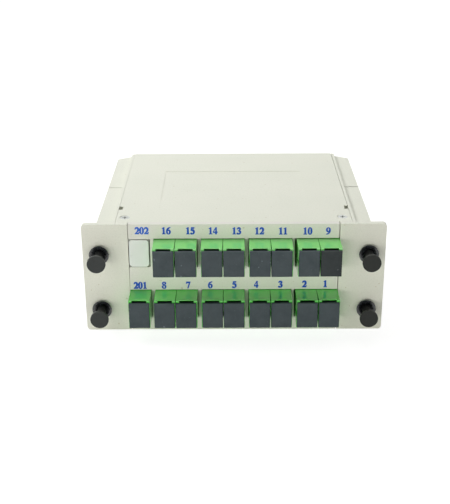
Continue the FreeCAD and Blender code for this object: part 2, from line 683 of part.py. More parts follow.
def splitter_module():
    """Closed steel tube with the chip inside, recessed at both ends where the fibres enter."""
    body = new_body("splitter_module")
    half_length, half_width = "Sizes.module_length / 2", "Sizes.module_width / 2"
    outline = new_sketch(body, "ModuleOutline", "XY")
    rectangle(outline, f"-{half_length}", half_length, f"-{half_width}", half_width)
    extrude(body, "ModuleBlock", outline, "Sizes.module_height")
    round_edges(body, "ModuleEdges", "Sizes.module_edge", lambda edge: runs_along(edge, "x"))
    both_sides(body, "ModuleRecess",
               (f"{half_length} - Sizes.module_recess", f"-{half_width} + Sizes.module_rim",
                "Sizes.module_rim"),
               (f"{half_length} + {PAST}", f"{half_width} - Sizes.module_rim",
                "Sizes.module_height - Sizes.module_rim"), cut=True)
    place(body, "0", "Sizes.spool_y", "Sizes.floor_thickness")


def check_and_write():
    doc.recompute()
    for thing in doc.Objects:
        if "Invalid" in thing.State or "Error" in thing.State:
            raise RuntimeError(f"{thing.Name} failed: {thing.State}")
    os.makedirs("parts", exist_ok=True)
    for part in subparts:
        shape = part.Shape
        if shape.isNull() or not shape.isValid() or not shape.Solids:
            raise RuntimeError(f"{part.Label} has no valid solid")
        shape.exportStep(f"parts/{part.Label}.step")
    print(len(subparts), "pieces written")


base_housing()
top_cover()
cover_screws()
adapter_panel()
blank_plug()
ports()
latches()
splitter_module()
check_and_write()
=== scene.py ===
import json
import math

import bmesh
import bpy
from mathutils import Matrix, Vector


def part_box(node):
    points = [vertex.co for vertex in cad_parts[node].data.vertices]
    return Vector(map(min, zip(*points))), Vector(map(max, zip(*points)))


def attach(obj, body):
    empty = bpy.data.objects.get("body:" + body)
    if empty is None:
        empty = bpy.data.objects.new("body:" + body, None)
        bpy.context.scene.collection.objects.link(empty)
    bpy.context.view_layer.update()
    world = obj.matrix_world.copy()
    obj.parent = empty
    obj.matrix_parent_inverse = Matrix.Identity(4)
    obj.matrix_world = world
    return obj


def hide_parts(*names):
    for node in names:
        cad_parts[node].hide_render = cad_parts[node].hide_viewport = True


mm = 0.001
hair = 0.01 * mm  # what still counts as lying on a plane

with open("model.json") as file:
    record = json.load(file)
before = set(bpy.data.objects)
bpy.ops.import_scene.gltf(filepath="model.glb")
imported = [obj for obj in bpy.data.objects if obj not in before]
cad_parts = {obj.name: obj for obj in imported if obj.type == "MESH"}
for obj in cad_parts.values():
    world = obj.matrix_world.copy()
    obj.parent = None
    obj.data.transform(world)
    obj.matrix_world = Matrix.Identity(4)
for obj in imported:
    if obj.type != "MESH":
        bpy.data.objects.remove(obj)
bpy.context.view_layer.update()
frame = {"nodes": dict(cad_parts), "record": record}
scene = bpy.context.scene
scene.view_settings.view_transform = "Standard"


def toLinear(red, green, blue):
    # from 0-255 screen values to scene light
    out = []
    for value in (red, green, blue):
        value /= 255
        out.append(value / 12.92 if value <= 0.04045 else ((value + 0.055) / 1.055) ** 2.4)
    return (*out, 1.0)


cameraSet = {
    "place": (-1.11, -431.10, 201.43),  # mm
    "pitch": 22.997,  # degrees down
    "turn": -0.396,
    "roll": -0.395,
    "lens": 70.03,  # mm, like the sensor
    "sensor": 36.0,
    "clip": (0.01, 50),  # m
}


def addCamera():
    data = bpy.data.cameras.new("productCamera")
    data.sensor_width = cameraSet["sensor"]
    data.lens = cameraSet["lens"]
    data.clip_start, data.clip_end = cameraSet["clip"]
    camera = bpy.data.objects.new("productCamera", data)
    scene.collection.objects.link(camera)
    pitch, turn, roll = (math.radians(cameraSet[k]) for k in ("pitch", "turn", "roll"))
    ahead = Vector((math.sin(turn) * math.cos(pitch), math.cos(turn) * math.cos(pitch), -math.sin(pitch)))
    right = Vector((math.cos(turn), -math.sin(turn), 0))
    up = right.cross(ahead)
    across = math.cos(roll) * right + math.sin(roll) * up
    upward = -math.sin(roll) * right + math.cos(roll) * up
    basis = Matrix((across, upward, -ahead)).transposed()
    camera.matrix_world = Matrix.Translation(Vector(cameraSet["place"]) * mm) @ basis.to_4x4()
    scene.camera = camera


addCamera()
print("camera placed")


def startFinish(name, metallic=0.0, specular=0.5):
    finish = bpy.data.materials.new(name)
    finish.use_nodes = True
    tree = finish.node_tree
    surface = tree.nodes["Principled BSDF"]
    surface.inputs["Metallic"].default_value = metallic
    surface.inputs["Specular IOR Level"].default_value = specular
    where = tree.nodes.new("ShaderNodeTexCoord").outputs["Object"]
    return finish, tree, surface, where


def noiseAt(tree, where, scale, detail=3.0, roughness=0.5, stretch=None):
    noise = tree.nodes.new("ShaderNodeTexNoise")
    noise.inputs["Scale"].default_value = scale
    noise.inputs["Detail"].default_value = detail
    noise.inputs["Roughness"].default_value = roughness
    if stretch:
        mapping = tree.nodes.new("ShaderNodeMapping")
        mapping.inputs["Scale"].default_value = stretch
        tree.links.new(where, mapping.inputs["Vector"])
        where = mapping.outputs["Vector"]
    tree.links.new(where, noise.inputs["Vector"])
    return noise.outputs["Fac"]


def ramp(tree, source, *stops):
    # two stops of (position, grey)
    node = tree.nodes.new("ShaderNodeValToRGB")
    for element, (position, grey) in zip(node.color_ramp.elements, stops):
        element.position = position
        element.color = (grey, grey, grey, 1)
    tree.links.new(source, node.inputs["Fac"])
    return node.outputs["Color"]


def blendColours(tree, share, first, second):
    node = tree.nodes.new("ShaderNodeMix")
    node.data_type = "RGBA"
    for socket, value in ((node.inputs[0], share), (node.inputs[6], first), (node.inputs[7], second)):
        if isinstance(value, bpy.types.NodeSocket):
            tree.links.new(value, socket)
        else:
            socket.default_value = value
    return node.outputs[2]


def addBump(tree, surface, height, depth):
    bump = tree.nodes.new("ShaderNodeBump")
    bump.inputs["Strength"].default_value = 1.0
    bump.inputs["Distance"].default_value = depth
    tree.links.new(height, bump.inputs["Height"])
    tree.links.new(bump.outputs["Normal"], surface.inputs["Normal"])


def cloudTone(tree, cloud, look):
    # slow drift between the two tones of a moulding
    return blendColours(tree, ramp(tree, cloud, (0.3, 0.0), (0.7, 1.0)),
                        toLinear(*look["dark"]), toLinear(*look["light"]))


def varyRoughness(tree, surface, pattern, first, last, spread=(0.3, 0.7)):
    tree.links.new(ramp(tree, pattern, (spread[0], first), (spread[1], last)), surface.inputs["Roughness"])


# In the finishes, tones are 0-255 screen values, scales are waves to the metre and depths are in metres.
# The stops of a mark are the pattern's values where it starts and is full, and its share there.

mouldedGrey = {
    "light": (229, 230, 218),
    "dark": (225, 227, 214),
    "cloudScale": 55,
    "grain": (210, 212, 198),
    "grainScale": 1500,
    "grainStops": ((0.45, 0.0), (0.75, 0.35)),
    "speck": (178, 168, 134),  # a few dust specks
    "speckScale": 620,
    "speckStops": ((0.755, 0.0), (0.78, 0.45)),
    "sparkScale": 2600,
    "sparkDepth": 0.00002,
    "roughness": (0.44, 0.56),
    "shine": 0.40,
}
fieldGrey = dict(mouldedGrey, light=(227, 226, 218), dark=(223, 223, 214), grain=(209, 208, 198))


def housingFinish(name, look):
    finish, tree, surface, where = startFinish(name, specular=look["shine"])
    cloud = noiseAt(tree, where, look["cloudScale"], 4)
    tone = cloudTone(tree, cloud, look)
    grain = ramp(tree, noiseAt(tree, where, look["grainScale"], 2), *look["grainStops"])
    tone = blendColours(tree, grain, tone, toLinear(*look["grain"]))
    specks = ramp(tree, noiseAt(tree, where, look["speckScale"], 1), *look["speckStops"])
    tone = blendColours(tree, specks, tone, toLinear(*look["speck"]))
    tree.links.new(tone, surface.inputs["Base Color"])
    varyRoughness(tree, surface, cloud, *look["roughness"])
    addBump(tree, surface, noiseAt(tree, where, look["sparkScale"], 4, 0.6), look["sparkDepth"])
    return finish


capGrey = {
    "light": (54, 65, 69),
    "dark": (47, 58, 62),
    "cloudScale": 260,
    "scuff": (108, 120, 124),  # of dust, lint and scratches
    "dustScale": 1500,
    "dustStops": ((0.68, 0.0), (0.82, 0.5)),
    "lintScale": 470,
    "lintStops": ((0.76, 0.0), (0.79, 0.7)),
    "scratchScale": (2600, 2600, 160),
    "scratchStops": ((0.72, 0.0), (0.78, 0.2)),
    "grainScale": 3200,
    "grainDepth": 0.00003,
    "roughness": (0.66, 0.50),
    "shine": 0.36,
}
capDark = dict(capGrey, light=(20, 30, 31), dark=(14, 24, 25), scuff=(78, 86, 86), roughness=(0.68, 0.52))


def capFinish(name, look):
    finish, tree, surface, where = startFinish(name, specular=look["shine"])
    cloud = noiseAt(tree, where, look["cloudScale"], 4, 0.6)
    tone = cloudTone(tree, cloud, look)
    dust = noiseAt(tree, where, look["dustScale"], 2)
    lint = noiseAt(tree, where, look["lintScale"], 1)
    scratch = noiseAt(tree, where, 1.0, 2, 0.5, look["scratchScale"])
    for pattern, stops in ((dust, "dustStops"), (lint, "lintStops"), (scratch, "scratchStops")):
        tone = blendColours(tree, ramp(tree, pattern, *look[stops]), tone, toLinear(*look["scuff"]))
    tree.links.new(tone, surface.inputs["Base Color"])
    varyRoughness(tree, surface, cloud, *look["roughness"])
    addBump(tree, surface, noiseAt(tree, where, look["grainScale"], 5, 0.65), look["grainDepth"])
    return finish


adapterGreen = {
    "light": (125, 217, 115),
    "dark": (119, 211, 109),
    "cloudScale": 140,
    "flowScale": (300, 60, 300),  # faint flow lines of the moulding
    "flowSpread": (0.35, 0.65),
    "waveScale": 900,
    "waveDepth": 0.0000015,
    "roughness": (0.01, 0.025),
    "shine": 1.0,
}
# painted shade and less painted sheen: the same green, deeper, for the lower row's shaded tops
adapterDeepGreen = dict(adapterGreen, light=(97, 219, 89), dark=(91, 212, 83))


def greenFinish(name, look):
    finish, tree, surface, where = startFinish(name, specular=look["shine"])
    tone = cloudTone(tree, noiseAt(tree, where, look["cloudScale"]), look)
    tree.links.new(tone, surface.inputs["Base Color"])
    flow = noiseAt(tree, where, 1.0, stretch=look["flowScale"])
    varyRoughness(tree, surface, flow, *look["roughness"], spread=look["flowSpread"])
    addBump(tree, surface, noiseAt(tree, where, look["waveScale"], 2), look["waveDepth"])
    return finish


plugWhite = {
    "light": (229, 233, 229),
    "dark": (225, 230, 225),
    "cloudScale": 160,
    "grainScale": 1400,
    "grainDepth": 0.000008,
    "roughness": (0.26, 0.36),
}


def plugFinish(name, look):
    finish, tree, surface, where = startFinish(name)
    cloud = noiseAt(tree, where, look["cloudScale"])
    tree.links.new(cloudTone(tree, cloud, look), surface.inputs["Base Color"])
    varyRoughness(tree, surface, cloud, *look["roughness"])
    addBump(tree, surface, noiseAt(tree, where, look["grainScale"], 2), look["grainDepth"])
    return finish


grommetBlack = {
    "light": (44, 48, 52),
    "dark": (18, 20, 23),
    "cloudScale": 420,
    "grainScale": 2400,
    "grainDepth": 0.000012,
    "roughness": (0.12, 0.24),
    "shine": 0.9,
}
plungerBlack = dict(
    grommetBlack,
    light=(42, 46, 45),
    dark=(34, 38, 37),
    dust=(92, 94, 88),
    dustScale=1700,
    dustStops=((0.70, 0.0), (0.82, 0.5)),
    neck=(8, 9, 9),  # painted shade on the stem, darker behind the disc
    neckRange=(-0.0543, -0.0536),  # m, from the disc's back to its cone
    roughness=(0.42, 0.60),
    shine=0.30,
)
# painted shade: a darker copy of the plunger finish for the right-hand knobs, which the lamps light less
plungerRightShaded = dict(plungerBlack, light=(29, 32, 29), dark=(21, 24, 21), dust=(76, 76, 70), neck=(6, 7, 7),
                   shine=0.25)


def nylonFinish(name, look):
    finish, tree, surface, where = startFinish(name, specular=look["shine"])
    cloud = noiseAt(tree, where, look["cloudScale"], 4, 0.6)
    tone = cloudTone(tree, cloud, look)
    if "dust" in look:
        dust = ramp(tree, noiseAt(tree, where, look["dustScale"], 2), *look["dustStops"])
        tone = blendColours(tree, dust, tone, toLinear(*look["dust"]))
        # painted shade: the stem behind the disc fades to a darker tone
        depth = tree.nodes.new("ShaderNodeSeparateXYZ")
        behind = tree.nodes.new("ShaderNodeMapRange")
        behind.inputs["From Min"].default_value, behind.inputs["From Max"].default_value = look["neckRange"]
        tree.links.new(where, depth.inputs[0])
        tree.links.new(depth.outputs["Y"], behind.inputs["Value"])
        tone = blendColours(tree, behind.outputs[0], tone, toLinear(*look["neck"]))
    tree.links.new(tone, surface.inputs["Base Color"])
    varyRoughness(tree, surface, cloud, *look["roughness"])
    addBump(tree, surface, noiseAt(tree, where, look["grainScale"]), look["grainDepth"])
    return finish


screwSteel = {
    "light": (208, 211, 208),
    "dark": (190, 194, 190),
    "brushScale": (900, 900, 900),
    "brushDepth": 0.000004,
    "roughness": (0.24, 0.38),
}
tubeSteel = dict(screwSteel, light=(206, 208, 210), dark=(182, 184, 188), brushScale=(60, 2400, 2400),
                 roughness=(0.20, 0.40))


def steelFinish(name, look):
    finish, tree, surface, where = startFinish(name, metallic=1.0)
    brushed = noiseAt(tree, where, 1.0, 3, 0.6, look["brushScale"])
    tone = blendColours(tree, brushed, toLinear(*look["dark"]), toLinear(*look["light"]))
    tree.links.new(tone, surface.inputs["Base Color"])
    varyRoughness(tree, surface, brushed, *look["roughness"])
    addBump(tree, surface, brushed, look["brushDepth"])
    return finish


printBlue = {
    "light": (6, 80, 196),
    "dark": (0, 68, 184),
    "cloudScale": 700,
    "roughness": 0.42,
    "shine": 0.4,
}
printPale = dict(printBlue, light=(44, 104, 206), dark=(32, 92, 196))


def inkFinish(name, look):
    finish, tree, surface, where = startFinish(name, specular=look["shine"])
    surface.inputs["Roughness"].default_value = look["roughness"]
    tone = cloudTone(tree, noiseAt(tree, where, look["cloudScale"]), look)
    tree.links.new(tone, surface.inputs["Base Color"])
    return finish


finishes = {
    "housing_plastic": housingFinish("mouldedHousingGrey", mouldedGrey),
    "blank_plastic": plugFinish("blankPlugWhite", plugWhite),
    "adapter_green": greenFinish("adapterGreen", adapterGreen),
    "cap_plastic": capFinish("dustCapGrey", capGrey),
    "grommet_nylon": nylonFinish("grommetBlack", grommetBlack),
    "plunger_nylon": nylonFinish("plungerBlack", plungerBlack),
    "screw_steel": steelFinish("screwSteel", screwSteel),
    "module_steel": steelFinish("drawnTubeSteel", tubeSteel),
}
darkCap = capFinish("dustCapDark", capDark)
shadedRowGreen = greenFinish("adapterDeepGreen", adapterDeepGreen)
fieldPlastic = housingFinish("mouldedFieldGrey", fieldGrey)
# the painted-shade copy of the plunger finish, for the right-hand knobs
rightShadedNylon = nylonFinish("plungerRightShaded", plungerRightShaded)
blueInk = inkFinish("printedBlue", printBlue)
paleInk = inkFinish("printedPaleBlue", printPale)
print("finishes made")


nodeBody = {}
for bodyName, nodeNames in frame["record"]["behaviour"]["bodies"].items():
    for nodeName in nodeNames:
        nodeBody[nodeName] = bodyName
nodeSlot = {part["node"]: part["material_slot"] for part in frame["record"]["subparts"]}


def nodeBox(node):
    low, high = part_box(node)
    return Vector(low), Vector(high)


frontFace = nodeBox("adapter_panel")[0].y  # the plane of the panel and the ears
faceThickness = 2.5 * mm
meshCare = {
    "weld": 2e-6,  # m, points closer than this are one
    "flat": 0.6,  # degrees, faces that meet flatter than this are one
    "crease": 40,  # only sharper edges are rounded
    "soft": 32,  # sharper corners than this stay crisp in the shading
}


def asPiece(name, mesh, body, slot=None, finish=None, replaces=()):
    mesh.materials.clear()
    mesh.materials.append(finish or finishes[slot])
    piece = bpy.data.objects.new(name, mesh)
    scene.collection.objects.link(piece)
    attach(piece, body)
    if replaces:
        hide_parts(*replaces)
    return piece


def cleanSolid(node):
    # the node's own shape with its flat faces whole again
    shape = bmesh.new()
    shape.from_mesh(frame["nodes"][node].data)
    bmesh.ops.remove_doubles(shape, verts=shape.verts, dist=meshCare["weld"])
    bmesh.ops.dissolve_limit(shape, angle_limit=math.radians(meshCare["flat"]), verts=shape.verts,
                             edges=shape.edges)
    return shape


def middle(edge):
    return (edge.verts[0].co + edge.verts[1].co) / 2


def softenEdges(shape, width, wanted=lambda edge: True, segments=2):
    crease = math.radians(meshCare["crease"])
    edges = [e for e in shape.edges if e.is_manifold and e.calc_face_angle() > crease and wanted(e)]
    bmesh.ops.bevel(shape, geom=edges, offset=width, offset_type="OFFSET", segments=segments,
                    profile=0.5, affect="EDGES", clamp_overlap=True)


def toMesh(shape, name):
    mesh = bpy.data.meshes.new(name)
    shape.to_mesh(mesh)
    shape.free()
    mesh.polygons.foreach_set("use_smooth", [True] * len(mesh.polygons))
    mesh.set_sharp_from_angle(angle=math.radians(meshCare["soft"]))
    return mesh


def fairNormals(piece):
    # large flat faces stay flat in the light beside their rounded edges
    fair = piece.modifiers.new("fairNormals", "WEIGHTED_NORMAL")
    fair.keep_sharp = True
    fair.weight = 100


def shapedPiece(name, node, shape, finish=None):
    piece = asPiece(name, toMesh(shape, name), nodeBody[node], nodeSlot[node], finish, (node,))
    fairNormals(piece)


def addBoxShape(shape, low, high):
    for vert in bmesh.ops.create_cube(shape, size=1)["verts"]:
        vert.co = Vector(low) + Vector(((vert.co[i] + 0.5) * (high[i] - low[i]) for i in range(3)))


def carve(shape, cuts, name):
    # takes the boxes in cuts out of shape
    block = bpy.data.objects.new(name + "_block", toMesh(shape, name + "_block"))
    boxes = bmesh.new()
    for low, high in cuts:
        addBoxShape(boxes, low, high)
    cutter = bpy.data.objects.new(name + "_cutter", toMesh(boxes, name + "_cutter"))
    for thing in (block, cutter):
        scene.collection.objects.link(thing)
    cut = block.modifiers.new("cut", "BOOLEAN")
    cut.operation = "DIFFERENCE"
    cut.solver = "EXACT"
    cut.object = cutter
    bpy.context.view_layer.update()
    settled = block.evaluated_get(bpy.context.evaluated_depsgraph_get())
    result = bpy.data.meshes.new_from_object(settled)
    for thing in (block, cutter):
        bpy.data.objects.remove(thing)
    carved = bmesh.new()
    carved.from_mesh(result)
    return carved


housingLook = {  # mm
    "earEdge": 0.30,
    "edge": 0.20,
    "shortest": 0.9,  # shorter edges stay sharp
    "behind": 0.5,  # from here on back the edge counts, and not the ears'
}


def addHousing():
    shape = cleanSolid("base_housing")
    shortest = housingLook["shortest"] * mm
    behind = frontFace + housingLook["behind"] * mm
    softenEdges(shape, housingLook["earEdge"] * mm,
                lambda e: abs(middle(e).y - frontFace) < 5 * hair and e.calc_length() > shortest, 3)
    softenEdges(shape, housingLook["edge"] * mm,
                lambda e: middle(e).y > behind and e.calc_length() > shortest)
    low, high = nodeBox("base_housing")
    for vert in shape.verts:  # no rounded corner reaches past the solid
        vert.co = [min(max(value, least), most) for value, least, most in zip(vert.co, low, high)]
    shapedPiece("housing_shell", "base_housing", shape)
    print("housing dressed")


addHousing()


coverLook = {  # mm
    "edge": 0.14,
    "lean": (0.02, 0.13),  # it lies a little to the left
    "frontGap": 0.03,
    "fieldDepth": 0.15,
    "fieldFloor": (0.2, 0.4),  # depths between which the solid's field lies
    "fieldHalf": 34,
    "shortest": 0.5,
    "frontEdge": 0.1,  # the edges up to here stay sharp
}


def addCover():
    shape = cleanSolid("top_cover")
    low, high = nodeBox("top_cover")
    gap = low.y - (frontFace + faceThickness)
    near, far = coverLook["lean"]
    shallow, deep = (v * mm for v in coverLook["fieldFloor"])
    for vert in shape.verts:
        share = (vert.co.y - low.y) / (high.y - low.y)
        vert.co.x -= (near + (far - near) * share) * mm
        if vert.co.y < low.y + hair:
            vert.co.y -= gap - coverLook["frontGap"] * mm
        if shallow < high.z - vert.co.z < deep and abs(vert.co.x) < coverLook["fieldHalf"] * mm:
            vert.co.z = high.z - coverLook["fieldDepth"] * mm
    softenEdges(shape, coverLook["edge"] * mm,
                lambda e: e.calc_length() > coverLook["shortest"] * mm
                and middle(e).y > low.y + coverLook["frontEdge"] * mm)
    shapedPiece("cover_plate", "top_cover", shape)
    print("cover dressed")


addCover()


panelLook = {  # mm
    "edge": 0.10,
    "topEdge": 0.25,
    "topStrip": 0.5,  # the edges in it, but for the top one, stay sharp
    "leftGap": 0.07,  # taken off the face at its ends
    "rightGap": 0.28,
    "openingTops": 0.22,  # the openings stand clear of the adapters' tops
    "openingSides": 0.10,
    "collar": 1.0,  # the adapters' collars are that much larger above and below than their openings
    "near": 0.2,  # how close a corner lies to the adapter that it belongs to
    "slack": 0.1,  # how far off its plane a corner may lie
    "rim": 1.0,  # no opening comes as near to the panel's foot or top
    "slit": (26.6, 0.5, 0.1),  # beside the last pair: place, top and foot
}


def openPort(vert, box):
    # moves a corner of the opening round the adapter in box, and says whether it is one
    near, collar = panelLook["near"] * mm, panelLook["collar"] * mm
    x, _, z = vert.co
    low, high = box
    atTop, atFoot = abs(z - high.z + collar) < near, abs(z - low.z - collar) < near
    side = (abs(x - high.x) < near) - (abs(x - low.x) < near)
    if not side or not (atTop or atFoot):
        return False
    vert.co.x += side * panelLook["openingSides"] * mm
    vert.co.z += panelLook["openingTops"] * mm if atTop else 0
    slitPlace, slitTop, slitFoot = panelLook["slit"]
    if side < 0 and abs(x - slitPlace * mm) < panelLook["slack"] * mm:
        vert.co.x -= (slitTop if atTop else slitFoot) * mm
    return True


def addPanel():
    shape = cleanSolid("adapter_panel")
    low, high = nodeBox("adapter_panel")
    faceHalf = max(v.co.x for v in shape.verts if v.co.y < low.y + hair)
    ports = [name for name in frame["nodes"] if name.startswith("adapter_") and name != "adapter_panel"]
    boxes = [nodeBox(name) for name in ports]
    plate = [v for v in shape.verts if v.co.y < low.y + faceThickness + panelLook["slack"] * mm]
    rim = panelLook["rim"] * mm
    for vert in plate:
        if rim < vert.co.z < high.z - rim:
            for box in boxes:
                if openPort(vert, box):
                    break
    for vert in plate:
        if abs(abs(vert.co.x) - faceHalf) < panelLook["near"] * mm:
            vert.co.x += panelLook["leftGap"] * mm if vert.co.x < 0 else -panelLook["rightGap"] * mm
    softenEdges(shape, panelLook["topEdge"] * mm,
                lambda e: middle(e).z > high.z - hair and middle(e).y < low.y + hair)
    softenEdges(shape, panelLook["edge"] * mm, lambda e: middle(e).z < high.z - panelLook["topStrip"] * mm)
    shapedPiece("front_panel", "adapter_panel", shape, fieldPlastic)
    print("panel dressed")


addPanel()


blankLook = {  # mm
    "edge": 0.25,
    "slack": (0.13, 0.12),  # taken off each side and off top and foot
    "rightSlack": 0.12,  # taken off the right side once more
    "rightFrom": 2.0,  # of the middle
    "corner": 0.2,  # taken off the rounded corners once more
    "cornerZone": (3.7, 4.39, 5.6),  # where they lie: from and to across, and from up
    "depth": 3.0,  # of the plug's front part
    "shortest": 0.2,
    "seat": (-0.04, 0, 0.02),  # it sits towards the upper left of its opening
}


def addBlank():
    shape = cleanSolid("blank_plug")
    low, high = nodeBox("blank_plug")
    centre = (low + high) / 2
    least, most, upFrom = (v * mm for v in blankLook["cornerZone"])
    for vert in shape.verts:
        if vert.co.y < frontFace + blankLook["depth"] * mm:
            away, up = vert.co.x - centre.x, vert.co.z - centre.z
            vert.co.x -= math.copysign(blankLook["slack"][0], away) * mm
            vert.co.z -= math.copysign(blankLook["slack"][1], up) * mm
            if away > blankLook["rightFrom"] * mm:
                vert.co.x -= blankLook["rightSlack"] * mm
            if least < abs(away) < most and abs(up) > upFrom:
                vert.co.x -= math.copysign(blankLook["corner"], away) * mm
                vert.co.z -= math.copysign(blankLook["corner"], up) * mm
    softenEdges(shape, blankLook["edge"] * mm,
                lambda e: middle(e).y < frontFace and e.calc_length() > blankLook["shortest"] * mm, 3)
    bmesh.ops.translate(shape, verts=shape.verts, vec=Vector(blankLook["seat"]) * mm)
    shapedPiece("port_blank", "blank_plug", shape)
    print("blank dressed")


addBlank()


adapterLook = {  # mm
    "edge": 0.13,
    "shortest": 0.6,
    "outside": (4.5, 6.3),  # what lies further from the middle, across or up, is the outer wall
    "notch": (6.9, 4.2, 5.25),  # width of the notch in the mouth, from and to above the middle
    "notchDepth": 0.9,
    "skin": 0.30,  # left over the relief behind the notch
    "reliefWidth": 6.6,
    "reliefDepth": (0.4, 3.2),  # from and to behind the mouth
    "rowSplit": 25.0,  # the rows are one green; below this, the lower row, whose tops get less light and reflection, gets a deeper copy with painted shade and less painted sheen
    "inset": (0.09, 0.11),  # each side, at the mouth and at the panel
    "apart": 0.07,  # and that much more on the side of the pair's other adapter
    "swing": {"09": 0.16, "10": 0.2},  # the mouth stands that far to the right
    "shapedDepth": 1.0,  # from the front face, and behind it the solid stays as it is
}


def adapterShape(node):
    low, high = nodeBox(node)
    centre = (low + high) / 2
    shape = cleanSolid(node)
    bodyTop = max(v.co.z for v in shape.verts if v.co.y < low.y + hair) - centre.z
    width, floor, roof = (v * mm for v in adapterLook["notch"])
    inner = adapterLook["reliefWidth"] / 2 * mm
    reliefFront, reliefBack = (low.y + v * mm for v in adapterLook["reliefDepth"])
    notchBack = low.y + adapterLook["notchDepth"] * mm
    for half, near, far, upTo in ((width / 2, low.y - mm, notchBack, roof),
                                  (inner, reliefFront, reliefBack, bodyTop - adapterLook["skin"] * mm)):
        cuts = []
        for way in (1, -1):
            ends = sorted((centre.z + way * floor, centre.z + way * upTo))
            cuts.append(((centre.x - half, near, ends[0]), (centre.x + half, far, ends[1])))
        shape = carve(shape, cuts, node)
    mouth, root = (v * mm for v in adapterLook["inset"])
    outsideX, outsideZ = (v * mm for v in adapterLook["outside"])
    port = node[len("adapter_"):]
    twinSide = 0 if len(port) > 2 else 1 if int(port) % 2 == 0 else -1
    for vert in shape.verts:
        if vert.co.y > frontFace + adapterLook["shapedDepth"] * mm:
            continue
        away = vert.co.x - centre.x
        share = min(1, (vert.co.y - low.y) / (frontFace - low.y))
        if abs(away) > outsideX:
            more = adapterLook["apart"] * mm if away * twinSide > 0 else 0
            vert.co.x -= math.copysign(mouth + (root - mouth) * share + more, away)
        vert.co.x += adapterLook["swing"].get(port, 0) * mm * (1 - share)
    softenEdges(shape, adapterLook["edge"] * mm,
                lambda e: e.calc_length() > adapterLook["shortest"] * mm
                and (abs(middle(e).x - centre.x) > outsideX or abs(middle(e).z - centre.z) > outsideZ))
    return shape


capLook = {
    "edge": 0.22,  # mm
    "plate": 1.2,  # depth of the front plate
    "dark": ("09",),  # of a darker moulding
    "seat": {  # where a plate sits off its middle, across and up
        "16": (-0.1, -0.05),
        "11": (-0.18, -0.05),
        "10": (0.25, 0),
        "09": (0.2, 0.05),
        "08": (-0.2, -0.05),
        "07": (-0.2, -0.05),
        "06": (0.12, 0),
    },
}


def capShape(node, port):
    shape = cleanSolid(node)
    plateBack = nodeBox(node)[0].y + capLook["plate"] * mm
    across, up = capLook["seat"].get(port, (0, 0))
    for vert in shape.verts:
        if vert.co.y < plateBack:
            vert.co.x += across * mm
            vert.co.z += up * mm
    softenEdges(shape, capLook["edge"] * mm, lambda e: middle(e).y < plateBack)
    return shape


def addPorts():
    ports = sorted(node[len("dust_cap_"):] for node in frame["nodes"] if node.startswith("dust_cap_"))
    for port in ports:
        node, cap = "adapter_" + port, "dust_cap_" + port
        upper = nodeBox(node)[0].z > adapterLook["rowSplit"] * mm
        # the lower row gets the copy of the green with painted shade
        shapedPiece("sc_" + node, node, adapterShape(node), None if upper else shadedRowGreen)
        shapedPiece("cap_" + port + "_cover", cap, capShape(cap, port),
                    darkCap if port in capLook["dark"] else None)
    print(len(ports), "ports dressed")


addPorts()


latchLook = {  # mm
    "grommetEdge": 0.10,
    "shortest": 0.3,
    "knobEdge": 0.15,
    "dish": (3.7, 1.72, 1.1),  # outer radius of the cone, how far in it runs and how deep
    "ribWidth": 0.36,
    "ribRise": 0.22,
    "ribSink": 0.05,  # into the dish
    "ribReach": (2.3, 3.65),  # from the middle of the dish
    "ribFacets": 6,
    "ribs": {  # degrees from the top
        "left": (-50, -4, 47, 98, 149, 200, 251),
        "right": (-38, 34, 106, 178, 250),
    },
}


def addRib(shape, centre, front, angle):
    # a half-round bar down the cone of the dish
    radius, run, deep = latchLook["dish"]
    facets = latchLook["ribFacets"]
    along = Vector((math.sin(angle), 0, math.cos(angle)))
    across = Vector((math.cos(angle), 0, -math.sin(angle)))
    rings = []
    for reach in latchLook["ribReach"]:
        depth = (radius - reach) * deep / run * mm
        root = Vector((centre.x, front + depth, centre.z)) + along * reach * mm
        ring = []
        for step in range(facets + 1):
            turn = math.pi * step / facets
            side = math.cos(turn) * latchLook["ribWidth"] / 2 * mm
            rise = (math.sin(turn) * latchLook["ribRise"] - latchLook["ribSink"]) * mm
            ring.append(shape.verts.new(root + across * side - Vector((0, rise, 0))))
        rings.append(ring)
    first, second = rings
    for i in range(facets):
        shape.faces.new((first[i], first[i + 1], second[i + 1], second[i]))
    shape.faces.new((first[-1], first[0], second[0], second[-1]))
    shape.faces.new(first[::-1])
    shape.faces.new(second)


def addLatch(level, side):
    place = level + "_" + side
    grommet = "latch_grommet_" + place
    low, high = nodeBox(grommet)
    shape = cleanSolid(grommet)
    softenEdges(shape, latchLook["grommetEdge"] * mm,
                lambda e: e.calc_length() > latchLook["shortest"] * mm and middle(e).y < low.y + hair)
    for angle in latchLook["ribs"][side]:
        addRib(shape, (low + high) / 2, low.y, math.radians(angle))
    bmesh.ops.recalc_face_normals(shape, faces=shape.faces)
    shapedPiece("grommet_" + place, grommet, shape)
    plunger = "latch_plunger_" + place
    shape = cleanSolid(plunger)
    softenEdges(shape, latchLook["knobEdge"] * mm)
    # the right-hand knobs get the painted-shade copy of the plunger finish
    shapedPiece("knob_" + place, plunger, shape, rightShadedNylon if side == "right" else None)


def addLatches():
    for level in ("lower", "upper"):
        for side in ("left", "right"):
            addLatch(level, side)
    print("latches dressed")


addLatches()


